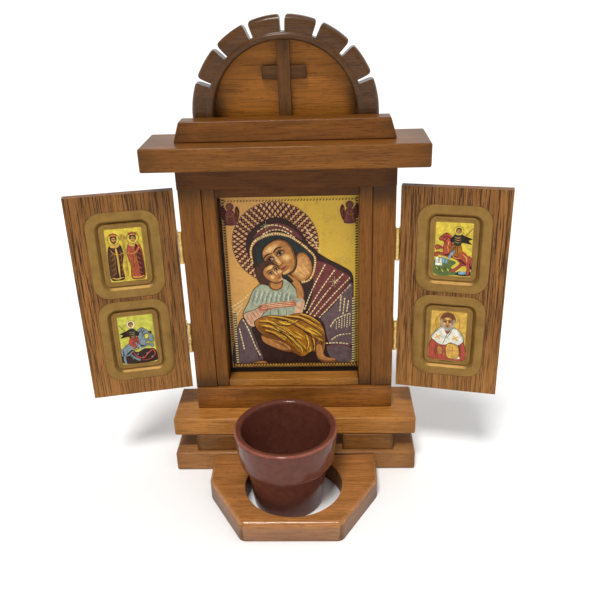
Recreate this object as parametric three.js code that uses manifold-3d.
// Tabletop icon shrine: a wooden case with a framed icon, two folding doors with small icons,
// a toothed arch with a cross on top, and a board in front that holds a glazed votive cup.
// Millimetres. +Z up, the front faces -Y, x = 0 is the centre line, y = 0 is the front of the
// case's side boards and z = 0 is the table.
import * as THREE from 'three';
import { mergeVertices } from 'three/addons/utils/BufferGeometryUtils.js';
import Module from 'manifold-3d';

const wasm = await Module();
wasm.setup();

// ---------------------------------------------------------------- driving dimensions
const GLUE = 0.2;              // gap left between two pieces that are glued together
const STOCK = 20;              // thickness of the planed boards

const CASE_HALF = 95;          // half of the case's width
const CASE_DEPTH = 36;         // side boards, front to back
const SILL_Z = 80;             // bottom of the door opening
const OPENING_HEIGHT = 200;

const LOWER = { half: 117.4, front: -25.5, top: 20 };
const SPACER = { inner: 46.5, outer: 96.3, front: -21.5, top: 38 };
const STEP = { half: 117.2, front: -21.4, top: 57 };
const CASE_FLOOR_FRONT = -2.5;
const CASE_TOP = { front: -3.5, height: 19.5 };
const LINTEL = { half: 121.3, front: -19, back: 39.5, height: 20.5 };
const PEDIMENT = { half: 94.3, front: -0.5, back: 22, height: 17, bevel: 4.8 };

const ARCH = { outer: 81, inner: 62, front: 23.6, back: 39.3 };
const BEAD = { outer: 67.2, proud: 1.4, chamfer: 1.2 };
const KERF = { root: 3.4, mouth: 4.6, bottom: 67.8, pitch: 22.5, each_side: 3 };
const TYMPANUM_THICKNESS = 3.4;
const CROSS = { width: 11, arm_length: 38, arm_z: 34.5, upright_depth: 7, arm_depth: 4.4,
  headroom: 0.8 };

const STRIP = { width: 12, top: 8.5, sill: 7, front: 1, back: 17 };
const ICON = { thickness: 1.2, margin: 1 };   // margin: play between print and case all round

const HOLDER = { half: 78.2, side_end: -66.3, front_half: 43.9, front: -125.2 };
const HOLE = { x: 0.5, y: -72.5, radius: 44.5 };
const CUP = { x: -5.1, y: -66.2, height: 79.5, collar: 33, floor: 5 };

const HINGE = { x: 96.9, length: 30, barrel: 1.7, bore: 1.05, pin: 0.85, pin_proud: 0.4,
  from_middle: 45.6 };
const LEAF = { inner: 0.9, outer: 1.7, start: 2.1, root: 2.6, body_end: 11, door_end: 8.4 };
const KNUCKLES = 5;            // barrel segments in a hinge, the case's leaf has the odd ones
const SCREW = { head: 1.5, rim: 0.1, neck: 0.85, head_depth: 0.65, point: 2, length: 8, sunk: 0.02,
  clearance: 0.12, pilot: 1.05, from_middle: 9.5 };
const DOOR = { edge: 1.9, width: 93.8, gap: 0.8, thickness: 8, bottom: 81, top: 279.5 };
const DOOR_TILT = 12.5;        // degrees short of fully open, as the doors stand
const TRAY = { width: 64, height: 81.5, corner: 14, pocket_width: 50, pocket_height: 67.5,
  pocket_corner: 9, flange: 0.9, proud: 0.3, wall: 1.2, floor: 0.8, depth: 4.2 };
const TRAY_DROPS = { upper: 56.3, lower: 141.6 };   // tray centres below the door's top
const PLAQUE = { width: 43, height: 60, corner: 6, thickness: 1.7 };

// Sides given to round pieces
const ARCH_STEPS = 24;
const HOLE_STEPS = 40;
const CUP_STEPS = 36;
const SCREW_SIDES = 10;
const PILOT_SIDES = 8;

// ---------------------------------------------------------------- worked out from them
const sideInner = CASE_HALF - STOCK;
const openingTop = SILL_Z + OPENING_HEIGHT;
const lintelBottom = openingTop + CASE_TOP.height;
const lintelTop = lintelBottom + LINTEL.height;
const springing = lintelTop + PEDIMENT.height;      // height of the arch's centre

// ---------------------------------------------------------------- materials
const paint = (color, roughness, metalness = 0) =>
  new THREE.MeshStandardMaterial({ color, roughness, metalness });
const beech = paint(0x9c6a3a, 0.45);
const beechDark = paint(0x6e4526, 0.5);
const oakDoor = paint(0x80552c, 0.5);
const goldTray = paint(0xa88a48, 0.4, 0.7);
const iconPrint = paint(0xc8a04a, 0.5);
const brass = paint(0xc8a040, 0.3, 1);
const glaze = paint(0x5a1c16, 0.15);

// ---------------------------------------------------------------- solids
function toManifold(geometry) {
  const bare = geometry.clone();
  bare.deleteAttribute('normal');
  bare.deleteAttribute('uv');
  const merged = mergeVertices(bare, 1e-4);
  return new wasm.Manifold(new wasm.Mesh({
    numProp: 3,
    vertProperties: new Float32Array(merged.attributes.position.array),
    triVerts: new Uint32Array(merged.index.array),
  }));
}

function toGeometry(solid) {
  const data = solid.getMesh();
  const geometry = new THREE.BufferGeometry();
  geometry.setAttribute('position', new THREE.BufferAttribute(data.vertProperties, 3));
  geometry.setIndex(new THREE.BufferAttribute(data.triVerts, 1));
  return geometry;
}

function cut(geometry, ...tools) {
  return toGeometry(tools.reduce((solid, tool) => solid.subtract(toManifold(tool)),
    toManifold(geometry)));
}

function join(geometry, ...others) {
  return toGeometry(others.reduce((solid, other) => solid.add(toManifold(other)),
    toManifold(geometry)));
}

// A box between two corners.
function block([x0, y0, z0], [x1, y1, z1]) {
  return new THREE.BoxGeometry(x1 - x0, y1 - y0, z1 - z0)
    .translate((x0 + x1) / 2, (y0 + y1) / 2, (z0 + z1) / 2);
}

// An outline drawn in X and Z, made solid from y0 back to y1.
function upright(shape, y0, y1, curveSegments = 4) {
  return new THREE.ExtrudeGeometry(shape, { depth: y1 - y0, bevelEnabled: false, curveSegments })
    .rotateX(Math.PI / 2)
    .translate(0, y1, 0);
}

function roundedRectangle(width, height, radius, cx = 0, cz = 0) {
  const [left, right] = [cx - width / 2, cx + width / 2];
  const [bottom, top] = [cz - height / 2, cz + height / 2];
  const shape = new THREE.Shape();
  shape.moveTo(left + radius, bottom);
  shape.lineTo(right - radius, bottom);
  shape.absarc(right - radius, bottom + radius, radius, -Math.PI / 2, 0, false);
  shape.lineTo(right, top - radius);
  shape.absarc(right - radius, top - radius, radius, 0, Math.PI / 2, false);
  shape.lineTo(left + radius, top);
  shape.absarc(left + radius, top - radius, radius, Math.PI / 2, Math.PI, false);
  shape.lineTo(left, bottom + radius);
  shape.absarc(left + radius, bottom + radius, radius, Math.PI, 1.5 * Math.PI, false);
  return shape;
}

// A round-headed outline: a half disc on straight legs that reach down to `foot`.
function archOutline(radius, foot) {
  const shape = new THREE.Shape();
  shape.moveTo(radius, foot);
  shape.lineTo(radius, springing);
  shape.absarc(0, springing, radius, 0, Math.PI, false);
  shape.lineTo(-radius, foot);
  shape.closePath();
  return shape;
}

function rod(radius, z0, z1, sides = 12) {
  return new THREE.CylinderGeometry(radius, radius, z1 - z0, sides)
    .rotateX(Math.PI / 2)
    .translate(0, 0, (z0 + z1) / 2);
}

// ---------------------------------------------------------------- assembly
const shrine = new THREE.Group();

function add(name, geometry, material, parent = shrine) {
  const mesh = new THREE.Mesh(geometry, material);
  mesh.name = name;
  parent.add(mesh);
  return mesh;
}

const sides = [['left', -1], ['right', 1]];

function addBase() {
  add('lower_board', block([-LOWER.half, LOWER.front, 0], [LOWER.half, CASE_DEPTH, LOWER.top]),
    beech);
  for (const [word, side] of sides) {
    const spacer = block([SPACER.inner, SPACER.front, LOWER.top + GLUE],
      [SPACER.outer, CASE_DEPTH, SPACER.top]);
    const middle = (SPACER.inner + SPACER.outer) / 2;
    spacer.translate(side * middle - middle, 0, 0);
    add(`spacer_${word}`, spacer, beechDark);
  }
  add('step_board',
    block([-STEP.half, STEP.front, SPACER.top + GLUE], [STEP.half, CASE_DEPTH, STEP.top]), beech);
}

// Pilot holes for the screws of two hinges, bored along X where their leaves are screwed on.
function pilotHoles(x, y) {
  return screwHeights().map((z) =>
    new THREE.CylinderGeometry(SCREW.pilot, SCREW.pilot, 2 * SCREW.length, PILOT_SIDES)
      .rotateZ(Math.PI / 2)
      .translate(x, y, z));
}

function addCase() {
  add('case_floor_board', block([-CASE_HALF, CASE_FLOOR_FRONT, STEP.top + GLUE],
    [CASE_HALF, CASE_DEPTH, SILL_Z]), beechDark);
  add('case_top_board', block([-CASE_HALF, CASE_TOP.front, openingTop],
    [CASE_HALF, CASE_DEPTH, lintelBottom]), beechDark);
  for (const [word, side] of sides) {
    const middle = side * (CASE_HALF + sideInner) / 2;
    const board = block([middle - STOCK / 2, 0, SILL_Z + GLUE],
      [middle + STOCK / 2, CASE_DEPTH, openingTop - GLUE]);
    add(`side_${word}`, cut(board, ...pilotHoles(side * CASE_HALF, screwReach.body)), beech);
  }
  const panel = sideInner - GLUE;
  add('back_board', block([-panel, STRIP.back + ICON.thickness + 2 * GLUE, SILL_Z + GLUE],
    [panel, CASE_DEPTH, openingTop - GLUE]), beechDark);
}

// The four strips that frame the icon, and the icon behind them.
function addIcon() {
  const outer = sideInner - GLUE;
  const inner = sideInner - STRIP.width;
  const [bottom, top] = [SILL_Z + GLUE, openingTop - GLUE];
  add('strip_left', block([-outer, STRIP.front, bottom], [-inner, STRIP.back, top]), beech);
  add('strip_right', block([inner, STRIP.front, bottom], [outer, STRIP.back, top]), beech);
  const between = inner - GLUE;
  add('strip_top', block([-between, STRIP.front, top - STRIP.top], [between, STRIP.back, top]),
    beechDark);
  add('strip_bottom',
    block([-between, STRIP.front, bottom], [between, STRIP.back, bottom + STRIP.sill]), beech);
  const front = STRIP.back + GLUE;
  const half = outer - ICON.margin;
  add('icon_print', block([-half, front, bottom + ICON.margin],
    [half, front + ICON.thickness, top - ICON.margin]), iconPrint);
}

// A board bevelled along its front and both ends.
function pedimentGeometry() {
  const { half, front, back, bevel } = PEDIMENT;
  const [z0, z1] = [lintelTop + GLUE, springing];
  const corners = [
    [-half, front, z0], [half, front, z0], [half, back, z0], [-half, back, z0],
    [-half + bevel, front + bevel, z1], [half - bevel, front + bevel, z1],
    [half - bevel, back, z1], [-half + bevel, back, z1],
  ];
  const faces = [0, 2, 1, 0, 3, 2, 4, 5, 6, 4, 6, 7, 0, 1, 5, 0, 5, 4,
    1, 2, 6, 1, 6, 5, 2, 3, 7, 2, 7, 6, 3, 0, 4, 3, 4, 7];
  const geometry = new THREE.BufferGeometry();
  geometry.setAttribute('position', new THREE.Float32BufferAttribute(corners.flat(), 3));
  geometry.setIndex(faces);
  return geometry;
}

// The gap between two teeth of the arch, a little wider at its mouth.
function kerfGeometry() {
  const top = KERF.bottom + STOCK;
  const widen = (KERF.mouth - KERF.root) / (ARCH.outer - KERF.bottom);
  const rootHalf = KERF.root / 2;
  const topHalf = rootHalf + widen * STOCK / 2;
  const outline = new THREE.Shape();
  outline.moveTo(-rootHalf, KERF.bottom);
  outline.lineTo(rootHalf, KERF.bottom);
  outline.lineTo(topHalf, top);
  outline.lineTo(-topHalf, top);
  outline.closePath();
  return upright(outline, ARCH.front - STOCK, ARCH.back + STOCK);
}

// One piece: a toothed arch with a raised bead along its inner edge.
function archGeometry() {
  const foot = lintelTop + GLUE;
  const ring = upright(archOutline(ARCH.outer, foot), ARCH.front, ARCH.back, ARCH_STEPS);
  const bead = upright(archOutline(BEAD.outer, foot), ARCH.front - BEAD.proud, ARCH.back,
    ARCH_STEPS);
  const inside = upright(archOutline(ARCH.inner, foot - 1), 0, 2 * ARCH.back, ARCH_STEPS);
  const kerfs = [];
  for (let i = -KERF.each_side; i <= KERF.each_side; i += 1) {
    kerfs.push(kerfGeometry()
      .rotateY(THREE.MathUtils.degToRad(i * KERF.pitch))
      .translate(0, 0, springing));
  }
  return cut(join(ring, bead), inside, ...kerfs);
}

function addTop() {
  add('lintel_board', block([-LINTEL.half, LINTEL.front, lintelBottom + GLUE],
    [LINTEL.half, LINTEL.back, lintelTop]), beech);
  add('pediment_board', pedimentGeometry(), beech);
  add('arch_ring', archGeometry(), beechDark);
  const panelFront = ARCH.back - TYMPANUM_THICKNESS;
  const foot = lintelTop + GLUE;
  const tympanum = archOutline(ARCH.inner - 2 * GLUE, foot);
  add('tympanum_panel', upright(tympanum, panelFront, ARCH.back, ARCH_STEPS), beech);

  const back = panelFront - GLUE;
  const armMiddle = springing + CROSS.arm_z;
  const halfWidth = CROSS.width / 2;
  const post = block([-halfWidth, back - CROSS.upright_depth, foot],
    [halfWidth, back, springing + ARCH.inner - CROSS.headroom]);
  const housing = block([-CROSS.width, back - CROSS.arm_depth - GLUE, armMiddle - halfWidth - GLUE],
    [CROSS.width, back + 1, armMiddle + halfWidth + GLUE]);
  add('cross_upright', cut(post, housing), beechDark);
  const armHalf = CROSS.arm_length / 2;
  add('cross_arm', block([-armHalf, back - CROSS.arm_depth, armMiddle - halfWidth],
    [armHalf, back, armMiddle + halfWidth]), beechDark);
}

function addHolder() {
  const outline = new THREE.Shape();
  const rear = LOWER.front - GLUE;
  outline.moveTo(-HOLDER.half, rear);
  outline.lineTo(-HOLDER.half, HOLDER.side_end);
  outline.lineTo(-HOLDER.front_half, HOLDER.front);
  outline.lineTo(HOLDER.front_half, HOLDER.front);
  outline.lineTo(HOLDER.half, HOLDER.side_end);
  outline.lineTo(HOLDER.half, rear);
  outline.closePath();
  const hole = new THREE.Path();
  hole.absarc(HOLE.x, HOLE.y, HOLE.radius, 0, 2 * Math.PI, false);
  outline.holes.push(hole);
  add('holder_board', new THREE.ExtrudeGeometry(outline,
    { depth: STOCK, bevelEnabled: false, curveSegments: HOLE_STEPS }), beech);
}

// Turned pot: a tapered body under a deep collar with a thick round lip.
function addCup() {
  const top = CUP.height;
  const collar = top - CUP.collar;
  const profile = [
    [0, 0], [30.8, 0], [32, 2.4], [34.4, 22], [37.2, collar - 3], [38.4, collar - 1],
    [42.2, collar], [43.4, collar + 2.4], [46.4, top - 5], [46.6, top - 2.6], [45.4, top - 0.3],
    [43.6, top], [41.2, top - 0.6], [39.8, top - 2.8], [37, top - 24],
    [27.4, CUP.floor + 3], [24, CUP.floor], [0, CUP.floor],
  ].map(([r, z]) => new THREE.Vector2(r, z));
  const geometry = new THREE.LatheGeometry(profile, CUP_STEPS).rotateX(Math.PI / 2);
  add('votive_cup', geometry, glaze).position.set(CUP.x, CUP.y, 0);
}

// ---------------------------------------------------------------- hinges and doors
const doorMiddle = (DOOR.bottom + DOOR.top) / 2;
const screwReach = { body: (LEAF.start + LEAF.body_end) / 2, door: DOOR.gap + DOOR.thickness / 2 };

function hingeMiddles() {
  return [['upper', doorMiddle + HINGE.from_middle], ['lower', doorMiddle - HINGE.from_middle]];
}

function screwHeights() {
  return hingeMiddles().flatMap(([, z]) => [z + SCREW.from_middle, z - SCREW.from_middle]);
}

// Countersunk screw whose head faces -X at the origin; `ease` widens it into its clearance hole.
function screwGeometry(ease = 0) {
  const { head, rim, neck, head_depth: headDepth, length, point } = SCREW;
  const profile = [
    [0, -ease], [head + ease, -ease], [head + ease, rim],
    [neck + ease, headDepth], [neck + ease, length - point], [0, length],
  ].map(([r, z]) => new THREE.Vector2(r, z));
  return new THREE.LatheGeometry(profile, SCREW_SIDES).rotateZ(-Math.PI / 2);
}

// A leaf on the +X side of the pin, from its plate to the barrel segments it owns.
// `first` is 0 for the case's leaf and 1 for the door's leaf.
function leafGeometry(first, end, screwY) {
  const half = HINGE.length / 2;
  const pitch = HINGE.length / KNUCKLES;
  let solid = block([LEAF.inner, LEAF.start, -half], [LEAF.outer, end, half]);
  for (let i = first; i < KNUCKLES; i += 2) {
    const z0 = -half + i * pitch + (i > 0 ? GLUE / 2 : 0);
    const z1 = -half + (i + 1) * pitch - (i < KNUCKLES - 1 ? GLUE / 2 : 0);
    solid = join(solid, block([LEAF.inner, 0, z0], [LEAF.outer, LEAF.root, z1]),
      rod(HINGE.barrel, z0, z1));
  }
  const holes = [-1, 1].map((row) => screwGeometry(SCREW.clearance)
    .translate(LEAF.inner, screwY, row * SCREW.from_middle));
  return cut(solid, rod(HINGE.bore, -HINGE.length, HINGE.length), ...holes);
}

// The piece itself, or with `flip` its mirror image on the -X side of the pin.
function mirrored(geometry, flip) {
  if (!flip) {
    return geometry;
  }
  const copy = geometry.clone().scale(-1, 1, 1);
  const index = copy.index ?? mergeVertices(copy).index;
  const array = Array.from(index.array);
  for (let i = 0; i < array.length; i += 3) {
    [array[i], array[i + 1]] = [array[i + 1], array[i]];
  }
  copy.setIndex(array);
  return copy;
}

function addHingeHalf(kind, word, group, flip) {
  const [first, end] = kind === 'case' ? [0, LEAF.body_end] : [1, LEAF.door_end];
  const screwY = kind === 'case' ? screwReach.body : screwReach.door;
  for (const [level, z] of hingeMiddles()) {
    const leaf = mirrored(leafGeometry(first, end, screwY), flip);
    add(`${kind}_leaf_${word}_${level}`, leaf, brass, group).position.set(0, 0, z);
    for (const [row, dz] of [['a', SCREW.from_middle], ['b', -SCREW.from_middle]]) {
      const screw = mirrored(screwGeometry(), flip);
      const x = (flip ? -1 : 1) * (LEAF.inner + SCREW.sunk);
      add(`${kind}_screw_${word}_${level}_${row}`, screw, brass, group)
        .position.set(x, screwY, z + dz);
    }
  }
}

function trayPocket(width, height, corner, x, z, y0, y1) {
  return upright(roundedRectangle(width, height, corner, x, z), y0, y1);
}

function addTrayAndPlaque(group, word, level, x, z) {
  const face = DOOR.gap - TRAY.proud;
  const floor = face + TRAY.depth;
  const flange = trayPocket(TRAY.width, TRAY.height, TRAY.corner, x, z, face, face + TRAY.flange);
  const cup = trayPocket(TRAY.pocket_width, TRAY.pocket_height, TRAY.pocket_corner, x, z,
    face + TRAY.flange / 2, floor);
  const hollow = trayPocket(TRAY.pocket_width - 2 * TRAY.wall, TRAY.pocket_height - 2 * TRAY.wall,
    TRAY.pocket_corner - TRAY.wall, x, z, face - 1, floor - TRAY.floor);
  add(`icon_tray_${word}_${level}`, cut(join(flange, cup), hollow), goldTray, group);
  const back = floor - TRAY.floor - GLUE;
  add(`icon_plaque_${word}_${level}`, trayPocket(PLAQUE.width, PLAQUE.height, PLAQUE.corner, x, z,
    back - PLAQUE.thickness, back), goldTray, group);
}

// A door drawn fully open: it reaches outwards from its pin, with its inner face to the front.
function addDoor(word, side) {
  const group = new THREE.Group();
  group.position.set(side * HINGE.x, 0, 0);
  group.rotation.z = -side * THREE.MathUtils.degToRad(DOOR_TILT);
  shrine.add(group);

  const x0 = side * DOOR.edge;
  const x1 = side * (DOOR.edge + DOOR.width);
  const middle = (x0 + x1) / 2;
  const back = DOOR.gap + DOOR.thickness;
  const panel = block([Math.min(x0, x1), DOOR.gap, DOOR.bottom],
    [Math.max(x0, x1), back, DOOR.top]);
  const cuts = [];
  for (const [level, drop] of Object.entries(TRAY_DROPS)) {
    const z = DOOR.top - drop;
    const ease = 2 * GLUE;
    cuts.push(trayPocket(TRAY.width + ease, TRAY.height + ease, TRAY.corner + GLUE, middle, z,
      -1, DOOR.gap + TRAY.flange - TRAY.proud + GLUE));
    cuts.push(trayPocket(TRAY.pocket_width + ease, TRAY.pocket_height + ease,
      TRAY.pocket_corner + GLUE, middle, z, -1, DOOR.gap - TRAY.proud + TRAY.depth + GLUE));
    addTrayAndPlaque(group, word, level, middle, z);
  }
  cuts.push(...pilotHoles(x0, screwReach.door));
  add(`door_${word}`, cut(panel, ...cuts), oakDoor, group);
  addHingeHalf('door', word, group, side < 0);
}

function addHinges() {
  for (const [word, side] of sides) {
    const group = new THREE.Group();
    group.position.set(side * HINGE.x, 0, 0);
    shrine.add(group);
    addHingeHalf('case', word, group, side > 0);
    for (const [level, z] of hingeMiddles()) {
      const half = HINGE.length / 2 + HINGE.pin_proud;
      add(`hinge_pin_${word}_${level}`, rod(HINGE.pin, -half, half), brass, group)
        .position.set(0, 0, z);
    }
    addDoor(word, side);
  }
}

addBase();
addCase();
addIcon();
addTop();
addHolder();
addCup();
addHinges();

export default shrine;
